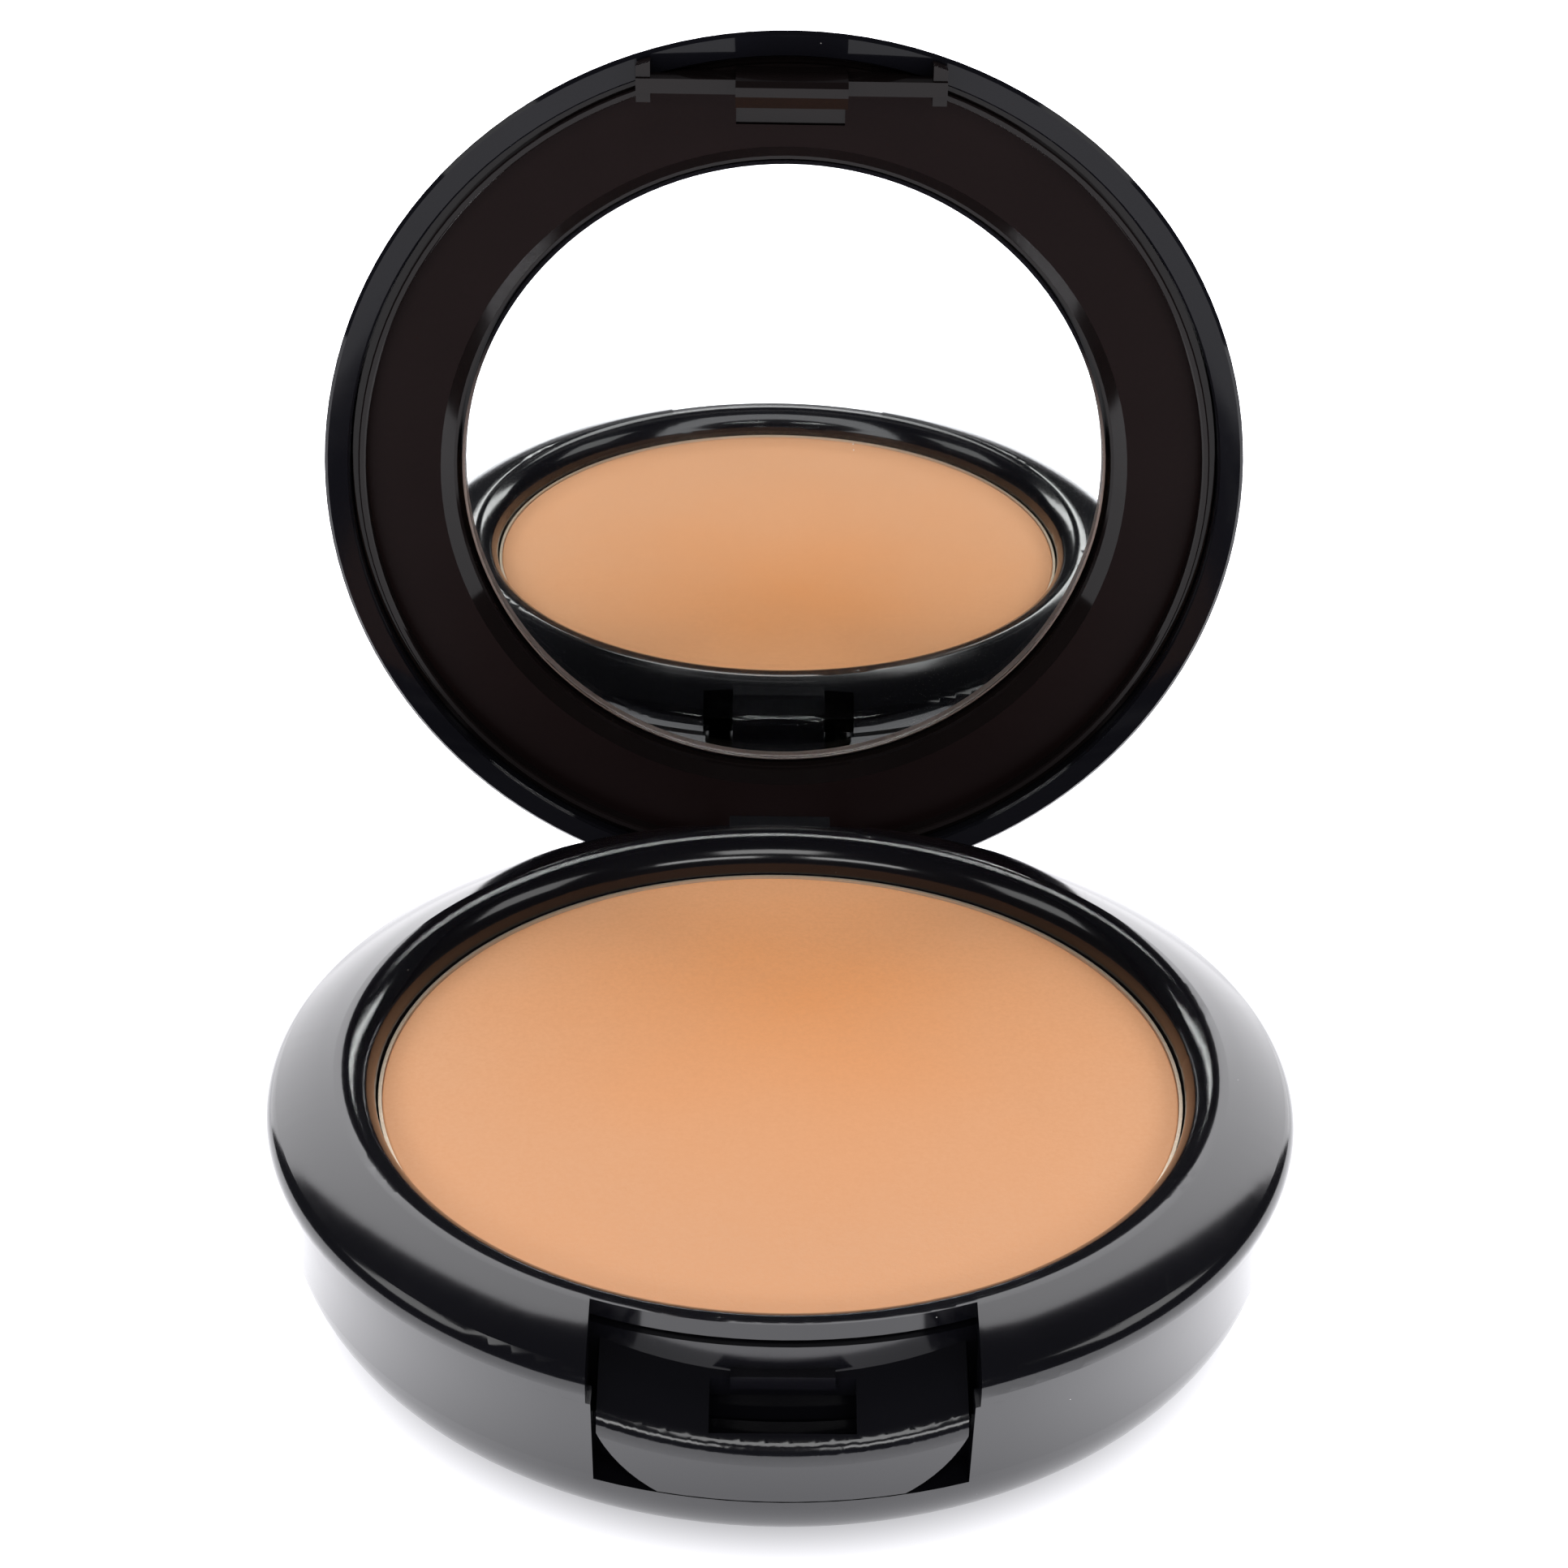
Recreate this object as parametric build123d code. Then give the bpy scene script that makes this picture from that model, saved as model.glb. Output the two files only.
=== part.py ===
"""Round pressed-powder compact with a mirrored lid and a lift-up powder tray.

Millimetres, +Z up. The origin is the centre of the flat underside of the base, the
latch is at -Y and the hinge at +Y. The lid stands open and the tray lies closed.
Heights are measured from the underside. The lid is drawn closed and then turned open.
"""
import os
from math import cos, radians, sin, tan

from build123d import *

# Base: a round bowl with a drafted wall
DECK_Z = 14.2            # height of the powder surface
RIM_Z = 13.15            # top of the base wall
BASE_R = 37.3            # outer radius of the base wall at its rim
BASE_DRAFT = 7.4         # lean of the base wall, degrees
BOWL_FILLET = 7.6        # outer radius between wall and underside
BASE_WALL = 1.6
LABEL_R = 17.0
LABEL_T = 0.2
LABEL_GAP = 0.05         # glue line above the label
LABEL_EDGE = 0.2         # gap round the label
SPONGE_R = 28.0
SPONGE_T = 6.0
SPONGE_ROUND = 1.5

# Front notch of the base, filled by the tab of the tray
NOTCH_HALF = 11.9
NOTCH_Z = 6.25           # lower edge of the notch
NOTCH_BACK_IN = 33.0     # wall of the base behind the tab
NOTCH_BACK_OUT = 34.2
NOTCH_BACK_TOP = 9.8
FRONT_Y = -20.0          # cuts in the front stay nearer the latch than this

# Hinge
HINGE_Y = 35.3
HINGE_Z = 8.05
OPEN_ANGLE = 87.7        # how far the lid stands open at rest
PIN_R = 0.75
PIN_HALF = 9.4
PIN_CHAMFER = 0.2
KNUCKLE_R = 2.1
RUNNING_GAP = 0.05
FIXED_GAP = 0.01
ARM_HALF = 4.3           # half width of the tray's middle knuckle
LUG_IN = 4.55            # lid knuckles, either side of the middle one
LUG_OUT = 6.7
EAR_IN = 6.9             # base knuckles, outermost
EAR_OUT = 9.6
POCKET_R = 3.9           # block around the hinge inside the base
POCKET_WALL = 1.3
POCKET_DROP = 3.1        # depth of the pocket below the hinge axis
REAR_RIM_DROP = 0.45     # the base rim is lower beside the hinge
REAR_RIM_HALF = 14.6
REAR_RIM_Y = 33.3

# Tray: pan well, rounded ridge and sloping band
WELL_R = 29.65
WELL_WALL = 1.4
WELL_DEPTH = 4.35
WELL_FLOOR = 1.2
RIDGE_RISE = 0.4         # the ridge's rounding starts this far above the powder
RIDGE_ROUND = 2.4
BAND_R = 37.5            # widest radius of the band
BAND_TOP_SLOPE = 12.0    # the band is slightly domed: its slope beside the ridge
BAND_LOW_SLOPE = 28.0    # and near its outer edge
BAND_EDGE_ROUND = 1.5
BAND_UNDER = 0.85        # underside of the band at the skirt, above the powder
HOLLOW_WIDTH = 0.8       # hollow under the ridge, seen in section
HOLLOW_RISE = 0.9
HOLLOW_DROP = 0.4
SKIRT_IN = 34.2          # skirt that locates the tray in the base
SKIRT_OUT = 35.25
SKIRT_DEPTH = 2.4
SKIRT_END_Y = 12.0       # no skirt nearer the hinge than this
FLANGE_DEPTH = 0.95
FRONT_WALL_R = 32.3      # wall behind the front notch
FRONT_WALL_IN = 30.3
FRONT_WALL_HALF = 12.9
FRONT_WALL_TOP = 1.0     # its top above the powder
CUT_HALF = 12.2          # half width of the notch in the band
LEDGE_SLOPE = 27.0
LEDGE_FRONT = 3.6        # drop of the ledge below the powder at its front edge
LEDGE_Y = -37.15
LEDGE_T = 1.4
LEDGE_ROUND = 1.6        # rounding from the ledge into the tab
TAB_HALF = 11.6
TAB_WALL = 2.0
TAB_BACK_Y = -26.3
TAB_Z = 6.35             # lower edge of the tab
TAB_CORNER_X = 3.8
TAB_CORNER_Z = 4.3
TAB_CORNER_BULGE = 0.35
SLOT_HALF = 4.6
SLOT_FRONT = 35.75
SLOT_BACK = 32.5
STRIKE_HALF = 3.3
STRIKE_OUT = 33.05
STRIKE_TOP = 0.75        # below the powder surface
STRIKE_T = 0.95
STRIKE_ROOT = 30.8

# Middle knuckle of the tray: (y, height above the powder) of its visible top
ARM_TOP = ((32.2, -0.2), (33.3, 2.1), (33.7, 2.4), (35.5, 2.4), (36.2, 2.1), (36.9, 1.1))
ARM_BACK_DROP = 1.5      # where its back meets the plane of the knuckle's rear
ARM_FRONT_DROP = 1.2
ARM_SLOT_Y = 34.2        # the band is cut away beside the knuckle behind this
ARM_SIDE_GAP = 0.2
ARM_BAND_Y = 37.2        # the band ends here behind the knuckle

# Powder pan
PAN_R = 29.5
PAN_T = 0.25
PAN_H = 4.2
PAN_CORNER = 0.8
GLUE_R = 24.0
GLUE_T = 0.15

# Lid, closed: heights above the powder surface
LID_R = 38.18
LID_RIM = 1.3
LID_DRAFT = 15.5
LID_TOP = 7.5
LID_FILLET = 4.0
LID_CEILING = 6.45
LID_BORE = 36.15
LID_RIM_INNER = 36.3
RIM_RISE = 0.3
LIP_R = 35.5             # raised lip round the lid's inner frame
LIP_T = 0.6
LIP_Z = 2.2
GROOVE_Z = 2.9
FRAME_Z = 3.45           # flat face of the inner frame
FRAME_T = 1.3
FRAME_IN = 27.55
BEVEL = 1.0
BEVEL_R = 28.8
FRAME_RIB = 1.2
MIRROR_R = 27.2
MIRROR_Z = 5.05
MIRROR_T = 1.0
SILVER_T = 0.07
TAPE_R = 24.0
ARM_SWEEP = 9.0          # clearance radius for the tray's middle knuckle
ARM_SWEEP_HALF = 4.7
FRAME_R = 36.05          # outer radius of the inner frame
FRAME_TOP = 6.4
# Lid knuckle: (y, height above the powder) from its front to its back
LUG_TOP = ((34.4, 0.3), (36.35, 1.2), (36.35, 2.4), (36.8, 2.4), (37.3, 0.7))

# Latch on the inner frame
WALL_Y = 34.95           # outer face of the latch wall
WALL_T = 1.1
WALL_TIP = -0.75
RIB_IN = 10.75
RIB_OUT = 11.85
RIB_BACK = 33.1
RIB_R = 37.7
RIB_TIP = -0.45
RIB_UNDER_RIM = 0.08     # gap between the ribs and the rim above them
HOOK_HALF = 4.25
HOOK_Y = 35.3
HOOK_T = 1.1
HOOK_TIP = -2.9
HOOK_CHAMFER = 0.4
NOSE_T = 0.8
NOSE_OUT = 0.9
CORE_PAD_Y = (-33.2, -30.5)
CORE_PAD_DEPTH = 0.35

FAR = 60.0               # larger than the whole object
SOFT_EDGE = 0.25
JOIN = 0.2               # overlap that joins two forms of one moulding


def turned(*edges):
    """Solid of revolution about Z from edges drawn as (radius, height)."""
    return revolve(Plane.XZ * make_face(edges), Axis.Z)


def ring(*points):
    """Solid of revolution from a closed run of (radius, height) points."""
    return revolve(Plane.XZ * make_face(Polyline(*points, close=True)), Axis.Z)


def disc(radius, bottom, height, y=0.0):
    return Pos(0, y, bottom + height / 2) * Cylinder(radius, height)


def block(x, y, z):
    """Box between pairs of limits."""
    size = [b - a for a, b in (x, y, z)]
    middle = [(a + b) / 2 for a, b in (x, y, z)]
    return Pos(*middle) * Box(*size)


def side_plate(x0, x1, *points):
    """Plate between x0 and x1 with an outline of (y, z) points."""
    face = Plane.YZ * make_face(Polyline(*points, close=True))
    return Pos(x0, 0, 0) * extrude(face, amount=x1 - x0)


def cross_rod(radius, x0, x1):
    """Round bar along X, centred on the hinge axis."""
    bar = Rot(0, 90, 0) * Cylinder(radius, x1 - x0)
    return Pos((x0 + x1) / 2, HINGE_Y, HINGE_Z) * bar


def both_sides(shape):
    return shape + mirror(shape, Plane.YZ)


def opened(shape):
    """The lid's closed shape, turned open about the hinge axis."""
    return shape.rotate(Axis((0, HINGE_Y, HINGE_Z), (1, 0, 0)), -OPEN_ANGLE)


def bowl(inset, top):
    """Solid bowl whose surface lies inset inside the outside of the base."""
    lean = radians(BASE_DRAFT)
    wall_z = BOWL_FILLET * (1 - sin(lean))
    foot_r = BASE_R - (RIM_Z - wall_z) * tan(lean) - BOWL_FILLET * cos(lean)
    radius = BOWL_FILLET - inset
    end = (foot_r + radius * cos(lean), BOWL_FILLET - radius * sin(lean))
    edge = (end[0] + (top - end[1]) * tan(lean), top)
    return turned(
        Line((0, inset), (foot_r, inset)),
        CenterArc((foot_r, BOWL_FILLET), radius, -90, 90 - BASE_DRAFT),
        Line(end, edge),
        Line(edge, (0, top)),
        Line((0, top), (0, inset)),
    )


def hinge_pocket():
    """Space in the base for the lid and tray knuckles, open at the rear and top."""
    front = HINGE_Y - POCKET_R + POCKET_WALL
    return block((-EAR_IN, EAR_IN), (front, FAR), (HINGE_Z - POCKET_DROP, FAR))


def notch_back():
    """Wall and cheeks that close the base behind the tab of the tray."""
    cheek = NOTCH_HALF + BASE_WALL / 2
    filler = bowl(0, NOTCH_BACK_TOP) & block((-cheek, cheek), (-FAR, 0), (BASE_WALL / 2, FAR))
    return filler - disc(NOTCH_BACK_IN, 0, FAR)


def notch_space():
    """Room in the base for the tab of the tray."""
    front = block((-NOTCH_HALF, NOTCH_HALF), (-FAR, FRONT_Y), (NOTCH_Z, FAR))
    return front - disc(NOTCH_BACK_OUT, 0, NOTCH_BACK_TOP)


def base_shell():
    shell = bowl(0, RIM_Z) - bowl(BASE_WALL, RIM_Z) + notch_back()
    front = HINGE_Y - POCKET_R
    under = block((-EAR_OUT, EAR_OUT), (front, FAR), (BASE_WALL / 2, HINGE_Z))
    filler = (cross_rod(POCKET_R, -EAR_OUT, EAR_OUT) + under) & bowl(0, RIM_Z)
    shell = shell + filler + cross_rod(KNUCKLE_R, -EAR_OUT, EAR_OUT)
    shell -= hinge_pocket()
    shell -= cross_rod(PIN_R + FIXED_GAP, -FAR, FAR)
    shell -= notch_space()
    rear_top = RIM_Z - REAR_RIM_DROP
    shell -= block((-REAR_RIM_HALF, REAR_RIM_HALF), (REAR_RIM_Y, FAR), (rear_top, FAR))
    return shell - disc(LABEL_R + LABEL_EDGE, 0, LABEL_T + LABEL_GAP)


def base_label():
    return disc(LABEL_R, 0, LABEL_T)


def sponge():
    pad = disc(SPONGE_R, BASE_WALL, SPONGE_T)
    return fillet(pad.edges(), SPONGE_ROUND)


def hinge_pin():
    pin = cross_rod(PIN_R, -PIN_HALF, PIN_HALF)
    return chamfer(pin.edges(), PIN_CHAMFER)


def ledge_plane(lower=0.0):
    """Everything above the sloping ledge, or above a plane lower by that much."""
    rise = tan(radians(LEDGE_SLOPE))
    middle_z = DECK_Z - LEDGE_FRONT - lower - LEDGE_Y * rise
    return side_plate(
        -FAR, FAR,
        (-FAR, middle_z - FAR * rise), (0, middle_z), (0, FAR), (-FAR, FAR),
    )


def ring_point(centre, radius, slope):
    """Point of an arc in the section where its surface falls outwards at that slope."""
    return (centre[0] + radius * sin(radians(slope)), centre[1] + radius * cos(radians(slope)))


def tray_ring():
    """Well, ridge, domed band and skirt as one turned form."""
    floor_z = DECK_Z - WELL_DEPTH
    under_z = floor_z - WELL_FLOOR
    well_out = WELL_R + WELL_WALL
    skirt_top = DECK_Z + BAND_UNDER
    flange_z = DECK_Z - FLANGE_DEPTH
    ridge = (WELL_R + RIDGE_ROUND, DECK_Z + RIDGE_RISE)
    start = (WELL_R, ridge[1])
    crest = ring_point(ridge, RIDGE_ROUND, 0)
    upper = ring_point(ridge, RIDGE_ROUND, BAND_TOP_SLOPE)
    edge_r = BAND_R - BAND_EDGE_ROUND
    lower_r = edge_r + BAND_EDGE_ROUND * sin(radians(BAND_LOW_SLOPE))
    turn = sin(radians(BAND_LOW_SLOPE)) - sin(radians(BAND_TOP_SLOPE))
    dome = (lower_r - upper[0]) / turn
    middle = (
        upper[0] - dome * sin(radians(BAND_TOP_SLOPE)),
        upper[1] - dome * cos(radians(BAND_TOP_SLOPE)),
    )
    lower = ring_point(middle, dome, BAND_LOW_SLOPE)
    edge = (edge_r, lower[1] - BAND_EDGE_ROUND * cos(radians(BAND_LOW_SLOPE)))
    side = ring_point(edge, BAND_EDGE_ROUND, 90 + BASE_DRAFT)
    flange_r = side[0] - (side[1] - flange_z) * tan(radians(BASE_DRAFT))
    return turned(
        ThreePointArc(start, ring_point(ridge, RIDGE_ROUND, -45), crest),
        ThreePointArc(crest, ring_point(ridge, RIDGE_ROUND, BAND_TOP_SLOPE / 2), upper),
        ThreePointArc(
            upper, ring_point(middle, dome, (BAND_TOP_SLOPE + BAND_LOW_SLOPE) / 2), lower,
        ),
        ThreePointArc(lower, ring_point(edge, BAND_EDGE_ROUND, 60), side),
        Polyline(
            side, (flange_r, flange_z), (SKIRT_OUT, flange_z), (SKIRT_OUT, DECK_Z - SKIRT_DEPTH),
            (SKIRT_IN, DECK_Z - SKIRT_DEPTH), (SKIRT_IN, skirt_top),
            (well_out + HOLLOW_WIDTH, skirt_top + HOLLOW_RISE), (well_out, skirt_top - HOLLOW_DROP),
            (well_out, under_z), (0, under_z), (0, floor_z), (WELL_R, floor_z), start,
        ),
    )


def tray_tab():
    """Ledge, front tab and latch slot that fill the notch of the base."""
    outside = bowl(0, DECK_Z)
    wide = block((-TAB_HALF, TAB_HALF), (-FAR, TAB_BACK_Y), (TAB_Z, DECK_Z))
    skin = (outside - bowl(TAB_WALL, DECK_Z)) & wide
    shelf = (outside & wide) - disc(FRONT_WALL_R - JOIN, 0, FAR)
    shelf = shelf & ledge_plane(LEDGE_T)
    tab = (skin + shelf) - ledge_plane()
    lip = tab.edges().sort_by_distance((0, LEDGE_Y, DECK_Z - LEDGE_FRONT))[0]
    tab = fillet(lip, LEDGE_ROUND)
    x_in = TAB_HALF - TAB_CORNER_X
    z_up = TAB_Z + TAB_CORNER_Z
    mid = ((TAB_HALF + x_in) / 2 + TAB_CORNER_BULGE, (TAB_Z + z_up) / 2 - TAB_CORNER_BULGE)
    corner = make_face([
        ThreePointArc((x_in, TAB_Z), mid, (TAB_HALF, z_up)),
        Polyline((TAB_HALF, z_up), (FAR, z_up), (FAR, 0), (x_in, 0), (x_in, TAB_Z)),
    ])
    return tab - both_sides(extrude(Plane.XZ * corner, amount=FAR))


def front_wall():
    """Thicker piece of well wall that faces the notch."""
    low = DECK_Z - WELL_DEPTH - WELL_FLOOR
    top = DECK_Z + FRONT_WALL_TOP
    wall = disc(FRONT_WALL_R, low, top - low) - disc(FRONT_WALL_IN, 0, FAR)
    return wall & block((-FRONT_WALL_HALF, FRONT_WALL_HALF), (-FAR, 0), (low, top))


def hinge_arm():
    """Middle knuckle of the tray, rising behind the ridge and reaching down to the pin."""
    front = HINGE_Y - KNUCKLE_R
    back = HINGE_Y + KNUCKLE_R
    arm = side_plate(
        -ARM_HALF, ARM_HALF,
        *[(y, DECK_Z + rise) for y, rise in ARM_TOP],
        (back, DECK_Z - ARM_BACK_DROP), (back, HINGE_Z),
        (front, HINGE_Z), (front, DECK_Z - ARM_FRONT_DROP),
    )
    return arm + cross_rod(KNUCKLE_R, -ARM_HALF, ARM_HALF)


def tray_frame():
    body = tray_ring()
    notch = block((-CUT_HALF, CUT_HALF), (-FAR, FRONT_Y), (0, FAR))
    body -= notch - disc(FRONT_WALL_R, 0, FAR)
    body += front_wall() + tray_tab()
    body -= block((-SLOT_HALF, SLOT_HALF), (-SLOT_FRONT, -SLOT_BACK), (TAB_Z, FAR))
    strike_z = DECK_Z - STRIKE_TOP
    body += block(
        (-STRIKE_HALF, STRIKE_HALF), (-STRIKE_OUT, -STRIKE_ROOT), (strike_z - STRIKE_T, strike_z),
    )
    no_skirt = block((-FAR, FAR), (SKIRT_END_Y, FAR), (0, DECK_Z - FLANGE_DEPTH))
    body -= no_skirt - disc(WELL_R + WELL_WALL, 0, FAR)
    body -= both_sides(block((ARM_HALF, EAR_IN + ARM_SIDE_GAP), (ARM_SLOT_Y, FAR), (0, FAR)))
    body -= block((-ARM_HALF, ARM_HALF), (ARM_BAND_Y, FAR), (0, FAR))
    body += hinge_arm()
    return body - cross_rod(PIN_R + RUNNING_GAP, -FAR, FAR)


def powder_pan():
    bottom = DECK_Z - PAN_H
    cup = fillet(disc(PAN_R, bottom, PAN_H).edges().sort_by(Axis.Z)[0], PAN_CORNER)
    inner = disc(PAN_R - PAN_T, bottom + PAN_T, PAN_H)
    inner = fillet(inner.edges().sort_by(Axis.Z)[0], PAN_CORNER - PAN_T)
    return cup - inner


def powder_cake():
    cake = disc(PAN_R - PAN_T, DECK_Z - PAN_H + PAN_T, PAN_H - PAN_T)
    return fillet(cake.edges().sort_by(Axis.Z)[0], PAN_CORNER - PAN_T)


def pan_glue():
    return disc(GLUE_R, DECK_Z - WELL_DEPTH, GLUE_T)


def lid_lug():
    """Hinge knuckle under the lid's rear rim, on the +X side."""
    plate = side_plate(
        LUG_IN, LUG_OUT,
        (LUG_TOP[0][0], HINGE_Z), *[(y, DECK_Z + rise) for y, rise in LUG_TOP],
        (HINGE_Y + KNUCKLE_R, HINGE_Z),
    )
    return plate + cross_rod(KNUCKLE_R, LUG_IN, LUG_OUT)


def lid_shell():
    z = DECK_Z
    lean = tan(radians(LID_DRAFT))
    shoulder = (LID_R - (LID_TOP - LID_RIM) * lean, z + LID_TOP)
    outline = make_face(Polyline(
        (0, z + LID_CEILING), (LID_BORE, z + LID_CEILING), (LID_BORE, z + LID_RIM + 2 * RIM_RISE),
        (LID_RIM_INNER, z + LID_RIM + RIM_RISE), (LID_R - RIM_RISE, z + LID_RIM),
        (LID_R, z + LID_RIM + RIM_RISE), shoulder, (0, z + LID_TOP), close=True,
    ))
    corner = outline.vertices().sort_by_distance((shoulder[0], shoulder[1], 0))[0]
    shell = revolve(Plane.XZ * fillet(corner, LID_FILLET), Axis.Z)
    shell -= cross_rod(ARM_SWEEP, -ARM_SWEEP_HALF, ARM_SWEEP_HALF)
    shell += both_sides(lid_lug())
    return opened(shell - cross_rod(PIN_R + RUNNING_GAP, -FAR, FAR))


def latch():
    """Cross wall with end ribs and the hook, hanging from the inner frame."""
    z = DECK_Z
    root = z + FRAME_Z + FRAME_T / 2
    inside = disc(FRAME_R, 0, FAR) + disc(RIB_R, 0, z + LID_RIM - RIB_UNDER_RIM)
    wall = block((-RIB_OUT, RIB_OUT), (-WALL_Y, -WALL_Y + WALL_T), (z + WALL_TIP, root)) & inside
    ribs = both_sides(block((RIB_IN, RIB_OUT), (-FAR, -RIB_BACK), (z + RIB_TIP, root)) & inside)
    stem_back = -HOOK_Y + HOOK_T
    tip = z + HOOK_TIP
    hook = side_plate(
        -HOOK_HALF, HOOK_HALF,
        (-HOOK_Y, root), (-HOOK_Y, tip + HOOK_CHAMFER), (-HOOK_Y + HOOK_CHAMFER, tip), (stem_back, tip),
        (stem_back + NOSE_OUT, tip + NOSE_T / 2), (stem_back + NOSE_OUT, tip + NOSE_T),
        (stem_back, tip + NOSE_T), (stem_back, root),
    )
    return wall + ribs + hook


def lid_frame():
    z = DECK_Z
    out = FRAME_R
    top = z + FRAME_TOP
    plate = z + FRAME_Z + FRAME_T
    soft = SOFT_EDGE / 2
    body = ring(
        (FRAME_IN, top), (FRAME_IN, z + FRAME_Z + BEVEL), (BEVEL_R - BEVEL, z + FRAME_Z + BEVEL),
        (BEVEL_R, z + FRAME_Z), (LIP_R - LIP_T, z + FRAME_Z), (LIP_R - LIP_T, z + LIP_Z + soft),
        (LIP_R - LIP_T + soft, z + LIP_Z), (LIP_R - soft, z + LIP_Z), (LIP_R, z + LIP_Z + soft),
        (LIP_R, z + GROOVE_Z), (out, z + GROOVE_Z), (out, top), (out - FRAME_RIB, top),
        (out - FRAME_RIB, plate), (FRAME_IN + FRAME_RIB, plate), (FRAME_IN + FRAME_RIB, top),
    )
    body -= block(
        (-HOOK_HALF, HOOK_HALF), CORE_PAD_Y,
        (z, z + FRAME_Z + CORE_PAD_DEPTH),
    )
    body += latch()
    return opened(body - cross_rod(ARM_SWEEP, -ARM_SWEEP_HALF, ARM_SWEEP_HALF))


def mirror_glass():
    plate = disc(MIRROR_R, DECK_Z + MIRROR_Z, MIRROR_T)
    return opened(chamfer(plate.edges().sort_by(Axis.Z)[0], SOFT_EDGE))


def mirror_silvering():
    return opened(disc(MIRROR_R, DECK_Z + MIRROR_Z + MIRROR_T, SILVER_T))


def mirror_tape():
    bottom = MIRROR_Z + MIRROR_T + SILVER_T
    return opened(disc(TAPE_R, DECK_Z + bottom, LID_CEILING - bottom))


PARTS = {
    "base_shell": base_shell,
    "base_label": base_label,
    "sponge": sponge,
    "hinge_pin": hinge_pin,
    "tray_frame": tray_frame,
    "powder_pan": powder_pan,
    "powder_cake": powder_cake,
    "pan_glue": pan_glue,
    "lid_shell": lid_shell,
    "lid_frame": lid_frame,
    "mirror_glass": mirror_glass,
    "mirror_silvering": mirror_silvering,
    "mirror_tape": mirror_tape,
}

os.makedirs("parts", exist_ok=True)
for node, make in PARTS.items():
    export_step(make(), f"parts/{node}.step")
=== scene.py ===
"""Looks of the powder compact: materials, powder, sponge, mirror film, studio and camera.

Metres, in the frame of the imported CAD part: origin at the centre of the flat underside,
+Z up, latch at -Y, hinge at +Y. Every place is worked out from the CAD nodes' boxes.
"""

from math import cos, pi, radians, sin, sqrt

import bpy
from mathutils import Matrix, Vector, noise


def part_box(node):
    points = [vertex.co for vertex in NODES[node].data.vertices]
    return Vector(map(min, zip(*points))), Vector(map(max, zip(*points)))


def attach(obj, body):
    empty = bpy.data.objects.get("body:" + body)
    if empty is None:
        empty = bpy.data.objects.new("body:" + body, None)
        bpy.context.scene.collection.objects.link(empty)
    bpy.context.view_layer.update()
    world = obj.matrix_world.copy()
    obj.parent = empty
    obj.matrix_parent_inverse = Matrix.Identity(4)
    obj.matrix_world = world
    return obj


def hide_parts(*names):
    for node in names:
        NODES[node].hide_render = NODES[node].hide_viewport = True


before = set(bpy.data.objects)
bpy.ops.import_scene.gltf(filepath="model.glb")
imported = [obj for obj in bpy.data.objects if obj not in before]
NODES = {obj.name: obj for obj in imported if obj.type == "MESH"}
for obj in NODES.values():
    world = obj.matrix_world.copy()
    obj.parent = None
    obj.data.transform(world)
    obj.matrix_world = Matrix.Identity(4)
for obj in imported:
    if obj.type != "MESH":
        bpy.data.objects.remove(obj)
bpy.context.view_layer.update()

MM = 0.001

# Camera
CAMERA_AT = (-2.263 * MM, -154.82 * MM, 118.08 * MM)
CAMERA_HEADING = 0.78       # degrees towards +X from +Y
CAMERA_PITCH = 27.32        # degrees below level
CAMERA_ROLL = 1.03
CAMERA_LENS = 57.43         # millimetres on a 36 mm sensor

# Powder cake
CAKE_GAP = 0.02 * MM        # between the cake and its pan
CAKE_CROWN = 0.12 * MM
CAKE_SINK = 0.14 * MM       # the cake's edge lies this far below the pan's rim
CAKE_ROUND = 0.2 * MM
CAKE_WAVE = 0.035 * MM      # slow unevenness of its face
CAKE_GRAIN = 0.012 * MM
CAKE_SHADE_AT = (2 * MM, 9 * MM, 14 * MM)    # painted shade: middle of a warmer, deeper patch of its face, where the lid shades it
CAKE_SHADE_R = 30 * MM
CAKE_FRONT_SHADE = (-25 * MM, 16 * MM)            # painted shade: its face is darker in colour towards the front, evening out the light on it
CAKE_RINGS = 120
CAKE_EDGE_RINGS = 8
CAKE_TURNS = 300

# Sponge
SPONGE_INSET = 0.3 * MM
SPONGE_LIFT = 0.05 * MM     # it lies this far above the floor of the base
SPONGE_ROUND = 2.2 * MM     # of its upper edge; the lower edge has half of that
SPONGE_WAIST = 0.25 * MM    # its side is drawn in by this
SPONGE_CROWN = 0.9 * MM
SPONGE_DENT = 0.22 * MM
SPONGE_PORE = 0.07 * MM
SPONGE_UNEVEN = 0.006       # share of its radius
SPONGE_RINGS = 90
SPONGE_TOP_RINGS = 12
SPONGE_LOW_RINGS = 8
SPONGE_TURNS = 260

# Mirror film
FILM_GAP = 0.01 * MM
FILM_INSET = 0.05 * MM

# Lid frame: its flat face lies this far in front of the middle of the glass
FLAT_AHEAD = 2.1 * MM
FLAT_TOLERANCE = 0.15 * MM
EDGE_SHADE_Z = (42 * MM, 56 * MM)              # painted shade: the ground edge of the glass darkens upwards, where it faces down and little light falls
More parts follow.
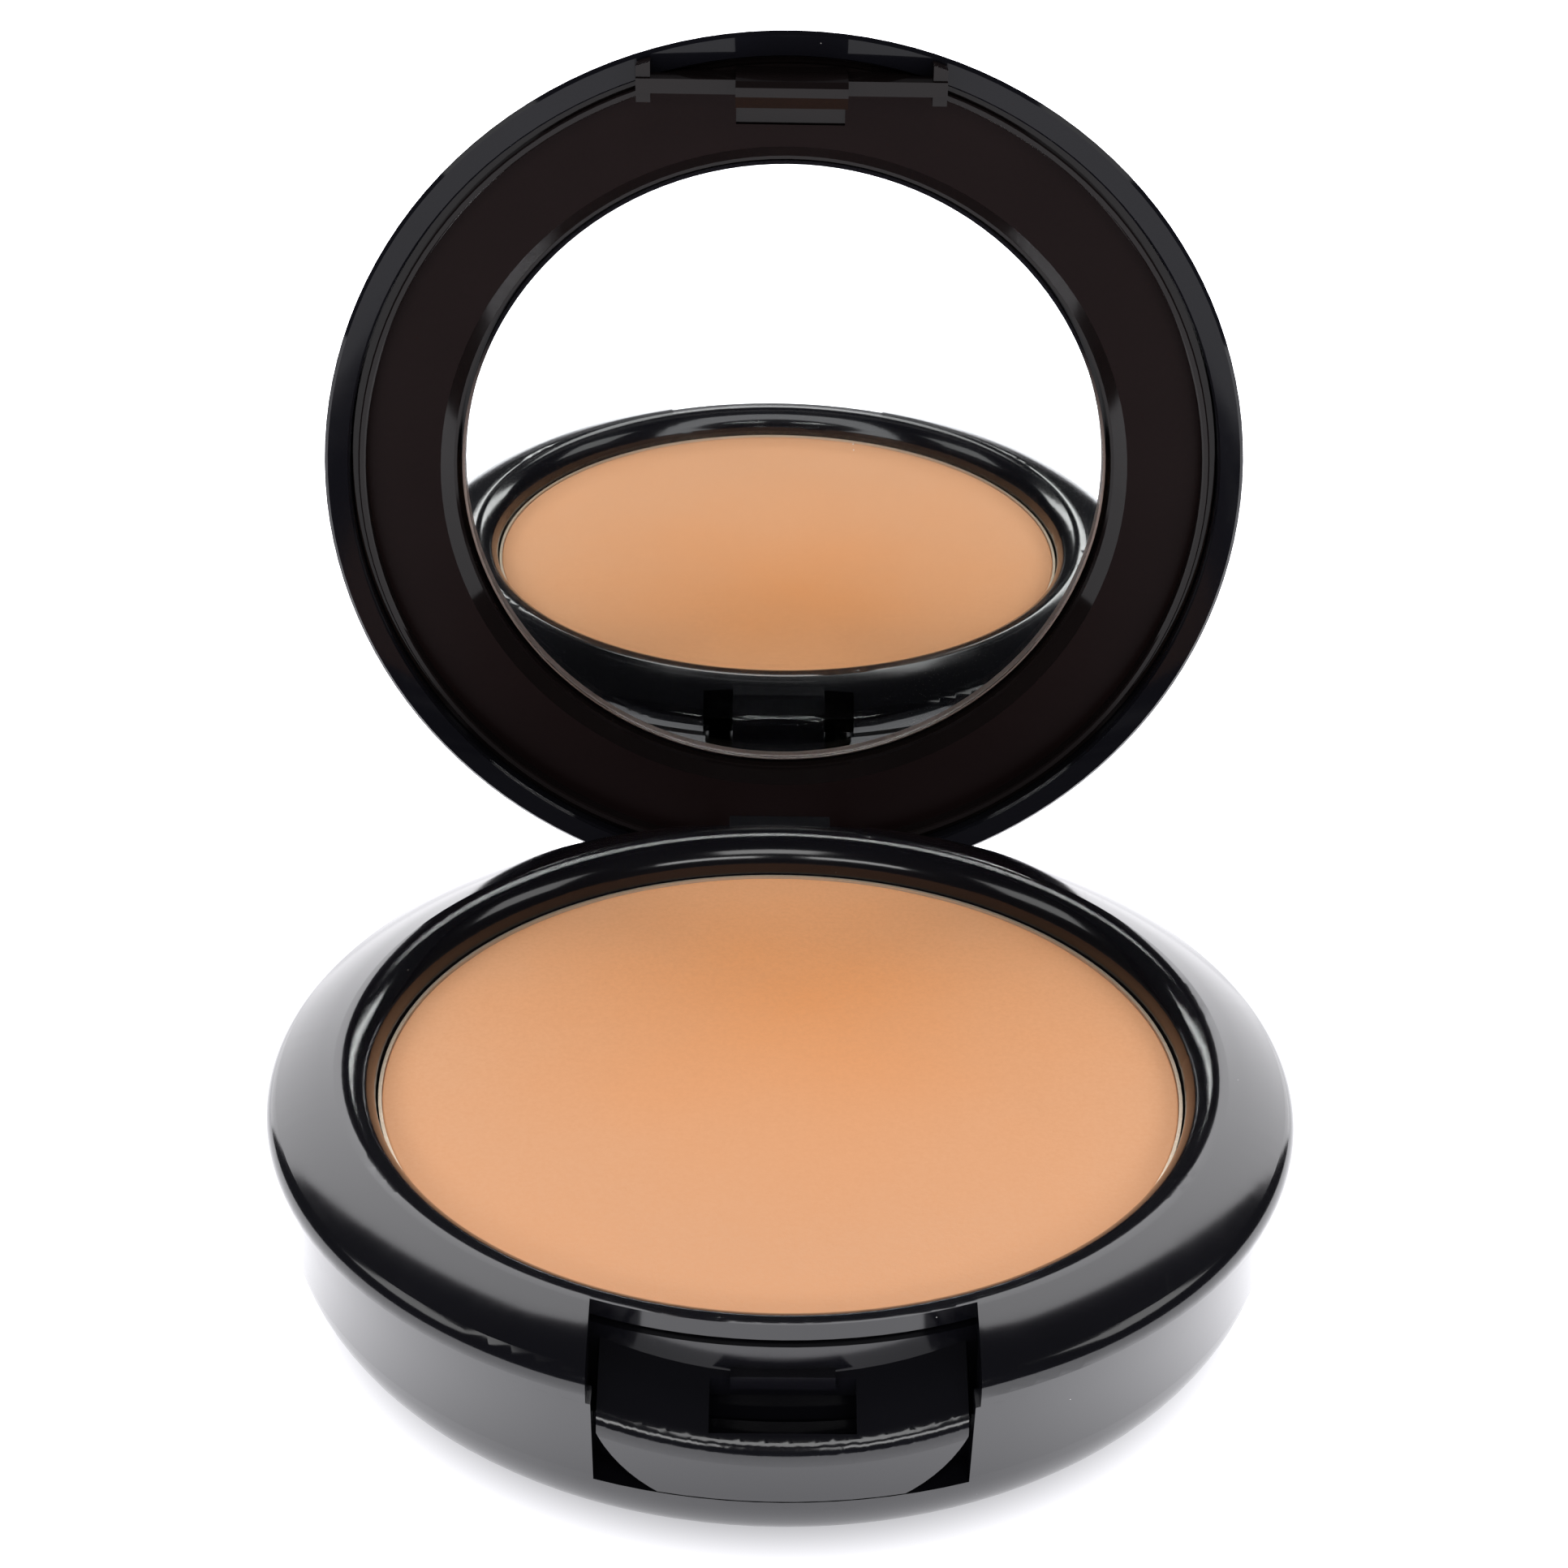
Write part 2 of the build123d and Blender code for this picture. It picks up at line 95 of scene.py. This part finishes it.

# Studio
FLOOR_SIZE = 9.0
FLOOR_DROP = 0.05 * MM      # keeps the floor clear of the underside
FLOOR_GLOW = 3.0
FLOOR_DIM = 0.12            # share of that glow left where the base stands
CONTACT_R = 29 * MM         # the floor brightens from here
CLEAR_R = 46 * MM           # to here
BACK_Y = 0.9
BACK_HEIGHT = 2.9
BACK_WIDTH = 2.2
BACK_GLOW = 4.2
ROOM_GREY = 0.03
LAMP_FAR = 0.9
LAMPS = (                   # name, azimuth, elevation, size, glow
    ("front_left", -112, 28, (0.42, 0.12), 8.0),
    ("front_right", -68, 28, (0.42, 0.12), 8.0),
    ("side_left", 184, 40, (0.40, 0.28), 3.0),
    ("side_right", -4, 40, (0.40, 0.28), 3.0),
    ("front_high", -86, 50, (0.36, 0.24), 5.6),
)
BOUNCE_FROM = (0.0, -0.45, 0.62)
BOUNCE_TO = (0.0, 25 * MM, 14 * MM)
BOUNCE_CONE = 4.2           # degrees
BOUNCE_POWER = 8.5
BOUNCE_SOFT = 20 * MM


# ---------------------------------------------------------------- node helpers

class Look:
    """A material and the nodes that paint it."""

    def __init__(self, name):
        self.material = bpy.data.materials.new(name)
        self.material.use_nodes = True
        self.tree = self.material.node_tree
        self.shader = self.tree.nodes["Principled BSDF"]
        self.place = self.add("ShaderNodeTexCoord").outputs["Object"]

    def add(self, kind, **values):
        node = self.tree.nodes.new(kind)
        for key, value in values.items():
            setattr(node, key, value)
        return node

    def link(self, source, target):
        self.tree.links.new(source, target)

    def set(self, **values):
        """Sets the shader's own sockets. Underscores stand for the spaces in their names."""
        for key, value in values.items():
            self.shader.inputs[key.replace("_", " ")].default_value = value

    def noise(self, size, detail=3.0, rough=0.5, stretch=None, warp=0.0):
        """Noise whose features are about size metres across."""
        texture = self.add("ShaderNodeTexNoise")
        texture.inputs["Scale"].default_value = 1.0 / size
        texture.inputs["Detail"].default_value = detail
        texture.inputs["Roughness"].default_value = rough
        texture.inputs["Distortion"].default_value = warp
        self.link(self.stretched(stretch), texture.inputs["Vector"])
        return texture.outputs["Fac"]

    def cells(self, size):
        """Distance to the nearest of points about size metres apart."""
        texture = self.add("ShaderNodeTexVoronoi", feature="F1")
        texture.inputs["Scale"].default_value = 1.0 / size
        self.link(self.place, texture.inputs["Vector"])
        return texture.outputs["Distance"]

    def stretched(self, stretch):
        """Places scaled along the axes, and turned about Z by a fourth value in degrees."""
        if stretch is None:
            return self.place
        mapping = self.add("ShaderNodeMapping")
        mapping.inputs["Scale"].default_value = stretch[:3]
        if len(stretch) > 3:
            mapping.inputs["Rotation"].default_value = (0, 0, radians(stretch[3]))
        self.link(self.place, mapping.inputs["Vector"])
        return mapping.outputs["Vector"]

    def span(self, source, low, high, to_low, to_high):
        """Maps source from low..high to to_low..to_high, held at both ends."""
        node = self.add("ShaderNodeMapRange", clamp=True)
        self.link(source, node.inputs["Value"])
        for name, value in zip(("From Min", "From Max", "To Min", "To Max"),
                               (low, high, to_low, to_high)):
            node.inputs[name].default_value = value
        return node.outputs["Result"]

    def maths(self, operation, a, b):
        node = self.add("ShaderNodeMath", operation=operation)
        for socket, value in zip(node.inputs, (a, b)):
            if isinstance(value, (int, float)):
                socket.default_value = value
            else:
                self.link(value, socket)
        return node.outputs["Value"]

    def blend(self, amount, first, second):
        """Colour between two colours or sockets."""
        node = self.add("ShaderNodeMix", data_type="RGBA")
        self.link(amount, node.inputs["Factor"])
        for name, value in (("A", first), ("B", second)):
            socket = [s for s in node.inputs if s.name == name and s.type == "RGBA"][0]
            if isinstance(value, tuple):
                socket.default_value = (*value, 1.0)
            else:
                self.link(value, socket)
        return [s for s in node.outputs if s.type == "RGBA"][0]

    def bump(self, height, depth, under=None):
        """Bump of that depth in metres, on top of another bump if one is given."""
        node = self.add("ShaderNodeBump")
        node.inputs["Strength"].default_value = 1.0
        node.inputs["Distance"].default_value = depth
        self.link(height, node.inputs["Height"])
        if under is not None:
            self.link(under, node.inputs["Normal"])
        self.link(node.outputs["Normal"], self.shader.inputs["Normal"])
        return node.outputs["Normal"]

    def colour(self, source):
        self.link(source, self.shader.inputs["Base Color"])

    def roughness(self, source):
        self.link(source, self.shader.inputs["Roughness"])

    def nearness(self, centre, inner, outer):
        """One within the inner distance of a point, falling to zero at the outer one."""
        node = self.add("ShaderNodeVectorMath", operation="DISTANCE")
        node.inputs[1].default_value = centre
        self.link(self.place, node.inputs[0])
        return self.span(node.outputs["Value"], inner, outer, 1.0, 0.0)

    def put_on(self, *names):
        for name in names:
            mesh = NODES[name].data
            mesh.materials.clear()
            mesh.materials.append(self.material)


# ---------------------------------------------------------------- materials

def plastic(name, dark, light, rough, scuff, shine):
    """Moulded black plastic with faint flow marks, smudges, hairlines and dust."""
    look = Look(name)
    look.set(IOR=1.5, Specular_IOR_Level=shine)
    flow = look.noise(14 * MM, detail=2)
    dust = look.span(look.cells(2.6 * MM), 0.018, 0.010, 0.0, 1.0)
    body = look.blend(flow, dark, light)
    look.colour(look.blend(dust, body, (0.45, 0.44, 0.42)))
    grease = look.noise(9 * MM, detail=5, rough=0.62, warp=0.4)
    smudge = look.span(grease, 0.50, 0.72, 0.0, scuff)
    hairs = look.noise(0.5 * MM, detail=2, stretch=(1, 0.03, 0.4, 24))
    hairline = look.span(hairs, 0.68, 0.76, 0.0, scuff)
    worn = look.maths("ADD", look.maths("ADD", smudge, hairline), rough)
    look.roughness(look.maths("ADD", worn, look.maths("MULTIPLY", dust, 0.5)))
    under = look.bump(look.noise(9 * MM, detail=1), 0.004 * MM)
    look.bump(hairs, 0.0003 * MM, under=under)
    return look


def satin_look():
    """Fine-textured face of the lid's inner frame, with a warm cast."""
    look = Look("satin_black")
    look.set(IOR=1.5, Specular_IOR_Level=0.03)
    grain = look.noise(0.18 * MM, detail=2)
    cloud = look.noise(12 * MM, detail=3)
    look.colour(look.blend(cloud, (0.0050, 0.0026, 0.0026), (0.0075, 0.0042, 0.0042)))
    look.roughness(look.span(grain, 0.3, 0.7, 0.32, 0.44))
    look.bump(grain, 0.002 * MM)
    return look


def glass_edge_look():
    """Ground edge of the mirror, with painted light and shade: pale low down where it faces up,
    near black higher up where it faces down.
    """
    look = Look("ground_edge")
    look.set(IOR=1.5, Specular_IOR_Level=0.3)
    height = look.add("ShaderNodeSeparateXYZ")
    look.link(look.place, height.inputs[0])
    grit = look.noise(0.3 * MM, detail=3)
    pale = look.blend(grit, (0.42, 0.33, 0.29), (0.26, 0.20, 0.18))
    # painted light and shade: pale below, near black above, by height
    upper = look.span(height.outputs["Z"], *EDGE_SHADE_Z, 0.0, 1.0)
    look.colour(look.blend(upper, pale, (0.012, 0.011, 0.014)))
    look.roughness(look.span(grit, 0.3, 0.7, 0.22, 0.40))
    look.bump(grit, 0.003 * MM)
    return look


def put_on_glass_edge(look):
    """Gives the rim of the glass, all but its two flat faces, its own look."""
    mesh = NODES["mirror_glass"].data
    mesh.materials.append(look.material)
    widest = max(mesh.polygons, key=lambda polygon: polygon.area)
    for polygon in mesh.polygons:
        if abs(polygon.normal.dot(widest.normal)) < 0.98:
            polygon.material_index = 1


def put_on_flat_face(look):
    """Gives the flat front of the lid's frame its own look."""
    low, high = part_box("mirror_glass")
    middle = (low + high) / 2
    film = NODES["mirror_silvering"]
    widest = max(film.data.polygons, key=lambda polygon: polygon.area)
    ahead = (film.matrix_world.to_3x3() @ widest.normal).normalized()
    if ahead.y > 0:
        ahead = -ahead
    node = NODES["lid_frame"]
    mesh = node.data
    mesh.materials.append(look.material)
    turn = node.matrix_world.to_3x3()
    for polygon in mesh.polygons:
        facing = (turn @ polygon.normal).normalized().dot(ahead)
        depth = (node.matrix_world @ polygon.center - middle).dot(ahead)
        if facing > 0.995 and abs(depth - FLAT_AHEAD) < FLAT_TOLERANCE:
            polygon.material_index = 1


def powder_look():
    """Beige powder with a fine grain, and painted shade: warmer and deeper round a patch the lid
    shades, darker towards its front.
    """
    look = Look("pressed_powder")
    look.set(IOR=1.4, Specular_IOR_Level=0.2)
    mottle = look.noise(11 * MM, detail=4, rough=0.6)
    grain = look.noise(0.35 * MM, detail=3, rough=0.7)
    # painted shade: a warmer, deeper patch where the lid shades the powder, mixed with random
    # mottling
    warm = look.nearness(CAKE_SHADE_AT, 0.0, CAKE_SHADE_R)
    warm = look.maths("ADD", warm, look.span(mottle, 0.3, 0.7, -0.10, 0.10))
    base = look.blend(warm, (0.83, 0.435, 0.232), (0.90, 0.378, 0.144))
    depth = look.add("ShaderNodeSeparateXYZ")
    look.link(look.place, depth.inputs[0])
    # painted shade: the face darkens towards the front
    front = look.span(depth.outputs["Y"], *CAKE_FRONT_SHADE, 0.58, 0.0)
    base = look.blend(front, base, (0.50, 0.26, 0.14))
    look.colour(look.blend(look.span(grain, 0.35, 0.8, 0.0, 0.3), base, (0.66, 0.31, 0.14)))
    look.roughness(look.span(grain, 0.3, 0.7, 0.8, 0.95))
    under = look.bump(look.noise(0.9 * MM, detail=4, rough=0.7), 0.02 * MM)
    look.bump(grain, 0.012 * MM, under=under)
    return look


def sponge_look():
    """Cream foam with open pores of two sizes, the larger ones darkened by painted shade."""
    look = Look("latex_foam")
    look.set(Subsurface_Weight=0.15, Subsurface_Scale=1.5 * MM, Specular_IOR_Level=0.2)
    pores = look.cells(0.42 * MM)
    small = look.cells(0.2 * MM)
    # painted shade: the foam is darker inside its larger pores, where shade falls
    pore_shade = look.span(pores, 0.12, 0.42, 1.0, 0.0)
    tone = look.blend(look.noise(8 * MM, detail=3), (0.80, 0.70, 0.56), (0.86, 0.77, 0.64))
    look.colour(look.blend(pore_shade, tone, (0.52, 0.42, 0.31)))
    look.roughness(look.span(small, 0.1, 0.6, 0.95, 0.8))
    under = look.bump(pores, 0.12 * MM)
    look.bump(small, 0.04 * MM, under=under)
    return look


def metal(name, colour, rough, stretch, size, bare):
    """Metal with fine drawing or turning marks. Bare is 1, less where powder lies on it."""
    look = Look(name)
    look.set(Metallic=bare)
    marks = look.noise(size, detail=3, stretch=stretch)
    look.colour(look.blend(marks, colour, tuple(0.82 * c for c in colour)))
    look.roughness(look.span(marks, 0.3, 0.7, rough, rough + 0.16))
    look.bump(marks, 0.002 * MM)
    return look


def film_look():
    """Silver film with a faint haze."""
    look = Look("mirror_film")
    look.set(Metallic=1.0)
    haze = look.noise(12 * MM, detail=4, rough=0.6)
    look.colour(look.blend(haze, (0.95, 0.955, 0.955), (0.93, 0.94, 0.945)))
    look.roughness(look.span(haze, 0.4, 0.7, 0.004, 0.02))
    return look


def glass_look():
    """Clear glass with a few specks and smears."""
    look = Look("mirror_glass")
    look.set(Transmission_Weight=1.0, IOR=1.5)
    specks = look.span(look.cells(4.5 * MM), 0.016, 0.010, 0.0, 1.0)
    look.colour(look.blend(specks, (0.985, 0.995, 0.99), (0.6, 0.6, 0.6)))
    smear = look.span(look.noise(10 * MM, detail=4, warp=0.6), 0.5, 0.8, 0.0, 0.012)
    look.roughness(look.maths("ADD", smear, look.maths("MULTIPLY", specks, 0.4)))
    return look


def paper_look(name, colour, size, rough):
    """Matt film, tape or dried glue with a fine grain."""
    look = Look(name)
    grain = look.noise(size, detail=4, rough=0.65)
    look.colour(look.blend(grain, colour, tuple(0.8 * c for c in colour)))
    look.roughness(look.span(grain, 0.3, 0.7, rough, rough + 0.15))
    look.bump(grain, 0.01 * MM)
    return look


# ---------------------------------------------------------------- mesh helpers

def new_piece(name, points, faces, look, body):
    """Smooth-shaded mesh object that rides the body."""
    mesh = bpy.data.meshes.new(name)
    mesh.from_pydata(points, [], faces)
    mesh.validate()
    mesh.polygons.foreach_set("use_smooth", [True] * len(mesh.polygons))
    mesh.materials.append(look.material)
    piece = bpy.data.objects.new(name, mesh)
    bpy.context.scene.collection.objects.link(piece)
    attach(piece, body)
    return piece


def turned_points(profile, turns, move):
    """Points and faces of a closed solid of revolution from (radius, height) points.

    The profile runs from the top centre to the bottom centre, both left out of it. Each
    point is then passed through move.
    """
    points = []
    for radius, height in profile:
        for k in range(turns):
            angle = 2 * pi * k / turns
            points.append(Vector((radius * cos(angle), radius * sin(angle), height)))
    top = len(points)
    points.append(Vector((0, 0, profile[0][1])))
    points.append(Vector((0, 0, profile[-1][1])))
    points = [move(p) for p in points]
    faces = []
    for row in range(len(profile) - 1):
        for k in range(turns):
            a = row * turns + k
            b = row * turns + (k + 1) % turns
            faces.append((a, a + turns, b + turns, b))
    last = (len(profile) - 1) * turns
    for k in range(turns):
        following = (k + 1) % turns
        faces.append((top, k, following))
        faces.append((top + 1, last + following, last + k))
    return points, faces


# ---------------------------------------------------------------- pieces

def powder_piece(look):
    """The pressed cake: a slightly crowned face with a soft edge and a fine grain."""
    low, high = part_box("powder_cake")
    radius = high.x - CAKE_GAP
    edge_z = high.z - CAKE_SINK

    def face_height(r):
        crown = CAKE_CROWN * (1 - (r / radius) ** 2)
        inside = max(0.0, r - (radius - CAKE_ROUND)) / CAKE_ROUND
        return edge_z + crown - CAKE_ROUND * (1 - sqrt(max(0.0, 1 - inside ** 2)))

    flat = radius - CAKE_ROUND
    radii = [flat * k / CAKE_RINGS for k in range(1, CAKE_RINGS + 1)]
    for k in range(1, CAKE_EDGE_RINGS + 1):
        radii.append(flat + CAKE_ROUND * sin(pi / 2 * k / CAKE_EDGE_RINGS))
    profile = [(r, face_height(r)) for r in radii]
    profile += [(radius, low.z + CAKE_ROUND), (radius - CAKE_ROUND, low.z + CAKE_GAP)]

    def grained(p):
        if p.z < edge_z - CAKE_ROUND:
            return p
        wave = noise.noise(p * 160) * CAKE_WAVE
        grain = noise.noise(p * 1500) * CAKE_GRAIN
        return p + Vector((0, 0, wave + grain))

    points, faces = turned_points(profile, CAKE_TURNS, grained)
    piece = new_piece("powder_surface", points, faces, look, "tray")
    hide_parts("powder_cake")


def sponge_piece(look):
    """Round foam applicator: crowned, soft-edged, a little uneven, flat underneath."""
    low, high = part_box("sponge")
    radius = high.x - SPONGE_INSET
    top = high.z - SPONGE_CROWN - SPONGE_INSET
    bottom = low.z + SPONGE_LIFT
    flat = radius - SPONGE_ROUND
    profile = [(flat * k / SPONGE_RINGS, top) for k in range(1, SPONGE_RINGS + 1)]
    for k in range(1, SPONGE_TOP_RINGS + 1):
        turn = pi / 2 * k / SPONGE_TOP_RINGS
        profile.append((flat + SPONGE_ROUND * sin(turn), top - SPONGE_ROUND * (1 - cos(turn))))
    waist = (top - SPONGE_ROUND + bottom) / 2
    profile.append((radius - SPONGE_WAIST, waist))
    small = SPONGE_ROUND / 2
    for k in range(SPONGE_LOW_RINGS + 1):
        turn = pi / 2 * k / SPONGE_LOW_RINGS
        profile.append((radius - small + small * cos(turn), bottom + small * (1 - sin(turn))))
    profile.append((flat * 0.5, bottom))

    def shaped(p):
        r = sqrt(p.x ** 2 + p.y ** 2) / radius
        lift = max(0.0, min(1.0, (p.z - bottom) / (top - bottom)))
        crown = SPONGE_CROWN * lift * (1 - r ** 3)
        dent = noise.noise(p * 90) * SPONGE_DENT * lift
        pore = noise.cell(p * 2600) * SPONGE_PORE * lift
        out = 1 + noise.noise(p * 55 + Vector((7, 3, 5))) * SPONGE_UNEVEN * lift
        return Vector((p.x * out, p.y * out, p.z + crown + dent - pore))

    points, faces = turned_points(profile, SPONGE_TURNS, shaped)
    piece = new_piece("sponge_pad", points, faces, look, "base")
    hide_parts("sponge")


def film_piece(look):
    """The mirror's silver film, a hair's breadth behind the glass."""
    node = NODES["mirror_silvering"]
    mesh = node.data.copy()
    mesh.name = "silver_film"
    low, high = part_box("mirror_silvering")
    middle = (low + high) / 2
    glass_low, glass_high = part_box("mirror_glass")
    away = middle - (glass_low + glass_high) / 2
    radius = (high.x - low.x) / 2
    shrink = 1 - FILM_INSET / radius
    mesh.transform(
        Matrix.Translation(middle + away.normalized() * FILM_GAP)
        @ Matrix.Scale(shrink, 4)
        @ Matrix.Translation(-middle)
    )
    mesh.materials.clear()
    mesh.materials.append(look.material)
    piece = bpy.data.objects.new("silver_film", mesh)
    bpy.context.scene.collection.objects.link(piece)
    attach(piece, "lid")
    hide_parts("mirror_silvering")


# ---------------------------------------------------------------- studio

def glowing(name, colour, strength):
    """Glowing material of an even strength, with its glow node and its tree."""
    material = bpy.data.materials.new(name)
    material.use_nodes = True
    tree = material.node_tree
    tree.nodes.clear()
    glow = tree.nodes.new("ShaderNodeEmission")
    glow.inputs["Color"].default_value = (*colour, 1)
    glow.inputs["Strength"].default_value = strength
    out = tree.nodes.new("ShaderNodeOutputMaterial")
    tree.links.new(glow.outputs["Emission"], out.inputs["Surface"])
    return material, glow, tree


def floor_white():
    """Glowing floor that darkens under the base, as a contact shadow."""
    material, glow, tree = glowing("studio_white", (0.965, 0.962, 1.0), FLOOR_GLOW)
    place = tree.nodes.new("ShaderNodeTexCoord")
    reach = tree.nodes.new("ShaderNodeVectorMath")
    reach.operation = "LENGTH"
    fade = tree.nodes.new("ShaderNodeMapRange")
    fade.interpolation_type = "SMOOTHSTEP"
    limits = (CONTACT_R, CLEAR_R, FLOOR_DIM * FLOOR_GLOW, FLOOR_GLOW)
    for key, value in zip(("From Min", "From Max", "To Min", "To Max"), limits):
        fade.inputs[key].default_value = value
    tree.links.new(place.outputs["Object"], reach.inputs[0])
    tree.links.new(reach.outputs["Value"], fade.inputs["Value"])
    tree.links.new(fade.outputs["Result"], glow.inputs["Strength"])
    return material


def panel(name, size, matrix, material):
    """Flat rectangle of the studio."""
    half_x = size[0] / 2
    half_y = size[1] / 2
    corners = [
        (-half_x, -half_y, 0), (half_x, -half_y, 0), (half_x, half_y, 0), (-half_x, half_y, 0),
    ]
    mesh = bpy.data.meshes.new(name)
    mesh.from_pydata(corners, [], [(0, 1, 2, 3)])
    mesh.materials.append(material)
    made = bpy.data.objects.new(name, mesh)
    bpy.context.scene.collection.objects.link(made)
    made.matrix_world = matrix


def lamp(name, azimuth, elevation, size, glow):
    """Soft light at those angles, aimed at the compact, of that radiance."""
    light = bpy.data.lights.new(name, "AREA")
    light.shape = "RECTANGLE"
    light.size = size[0]
    light.size_y = size[1]
    light.energy = glow * pi * size[0] * size[1]
    made = bpy.data.objects.new(name, light)
    bpy.context.scene.collection.objects.link(made)
    level = LAMP_FAR * cos(radians(elevation))
    made.location = (
        level * cos(radians(azimuth)), level * sin(radians(azimuth)),
        LAMP_FAR * sin(radians(elevation)),
    )
    made.rotation_euler = (-made.location).to_track_quat("-Z", "Y").to_euler()


def bounce():
    """Soft pool of light on the rear of the powder, where the mirror would throw it."""
    light = bpy.data.lights.new("mirror_bounce", "SPOT")
    light.spot_size = radians(BOUNCE_CONE)
    light.spot_blend = 1.0
    light.shadow_soft_size = BOUNCE_SOFT
    light.energy = BOUNCE_POWER
    made = bpy.data.objects.new("mirror_bounce", light)
    bpy.context.scene.collection.objects.link(made)
    made.location = BOUNCE_FROM
    made.rotation_euler = (Vector(BOUNCE_TO) - made.location).to_track_quat("-Z", "Y").to_euler()
    made.visible_glossy = False


def studio():
    level = Matrix.Translation((0, 0, -FLOOR_DROP))
    panel("studio_floor", (FLOOR_SIZE, FLOOR_SIZE), level, floor_white())
    back = glowing("backdrop_white", (0.975, 0.97, 1.0), BACK_GLOW)[0]
    middle = Matrix.Translation((0, BACK_Y, BACK_HEIGHT / 2))
    upright = middle @ Matrix.Rotation(radians(90), 4, "X")
    panel("studio_backdrop", (BACK_WIDTH, BACK_HEIGHT), upright, back)
    for settings in LAMPS:
        lamp(*settings)
    bounce()
    world = bpy.data.worlds.new("room")
    world.use_nodes = True
    world.node_tree.nodes["Background"].inputs["Color"].default_value = (*[ROOM_GREY] * 3, 1)
    bpy.context.scene.world = world


def camera():
    data = bpy.data.cameras.new("camera")
    data.lens = CAMERA_LENS
    data.sensor_width = 36.0
    data.clip_start = 0.01
    made = bpy.data.objects.new("camera", data)
    bpy.context.scene.collection.objects.link(made)
    turn = (
        Matrix.Rotation(radians(-CAMERA_HEADING), 4, "Z")
        @ Matrix.Rotation(radians(90 - CAMERA_PITCH), 4, "X")
        @ Matrix.Rotation(radians(CAMERA_ROLL), 4, "Z")
    )
    made.matrix_world = Matrix.Translation(CAMERA_AT) @ turn
    bpy.context.scene.camera = made


# ---------------------------------------------------------------- scene

camera()
studio()

DARK = (0.003, 0.003, 0.004)
LIGHT = (0.005, 0.005, 0.007)
base_black = plastic("gloss_black", DARK, LIGHT, rough=0.12, scuff=0.04, shine=0.42)
base_black.put_on("base_shell", "tray_frame")
plastic("lid_black", DARK, LIGHT, rough=0.06, scuff=0.04, shine=0.12).put_on("lid_shell")
WARM_DARK = (0.004, 0.003, 0.003)
WARM_LIGHT = (0.007, 0.005, 0.005)
frame_black = plastic("frame_black", WARM_DARK, WARM_LIGHT, rough=0.06, scuff=0.05, shine=0.12)
frame_black.put_on("lid_frame")
put_on_flat_face(satin_look())
pan_metal = metal("pan_metal", (0.66, 0.55, 0.42), 0.52, (1, 1, 8), 0.25 * MM, bare=0.6)
pan_metal.put_on("powder_pan")
pin_steel = metal("pin_steel", (0.62, 0.62, 0.64), 0.25, (1, 30, 30), 0.6 * MM, bare=1.0)
pin_steel.put_on("hinge_pin")
glass_look().put_on("mirror_glass")
put_on_glass_edge(glass_edge_look())
paper_look("label_film", (0.030, 0.030, 0.032), 0.4 * MM, 0.55).put_on("base_label")
paper_look("foam_tape", (0.78, 0.78, 0.75), 0.5 * MM, 0.8).put_on("mirror_tape")
paper_look("glue_film", (0.75, 0.70, 0.55), 1.2 * MM, 0.35).put_on("pan_glue")

powder_piece(powder_look())
sponge_piece(sponge_look())
film_piece(film_look())

bpy.context.scene.view_settings.view_transform = "Standard"
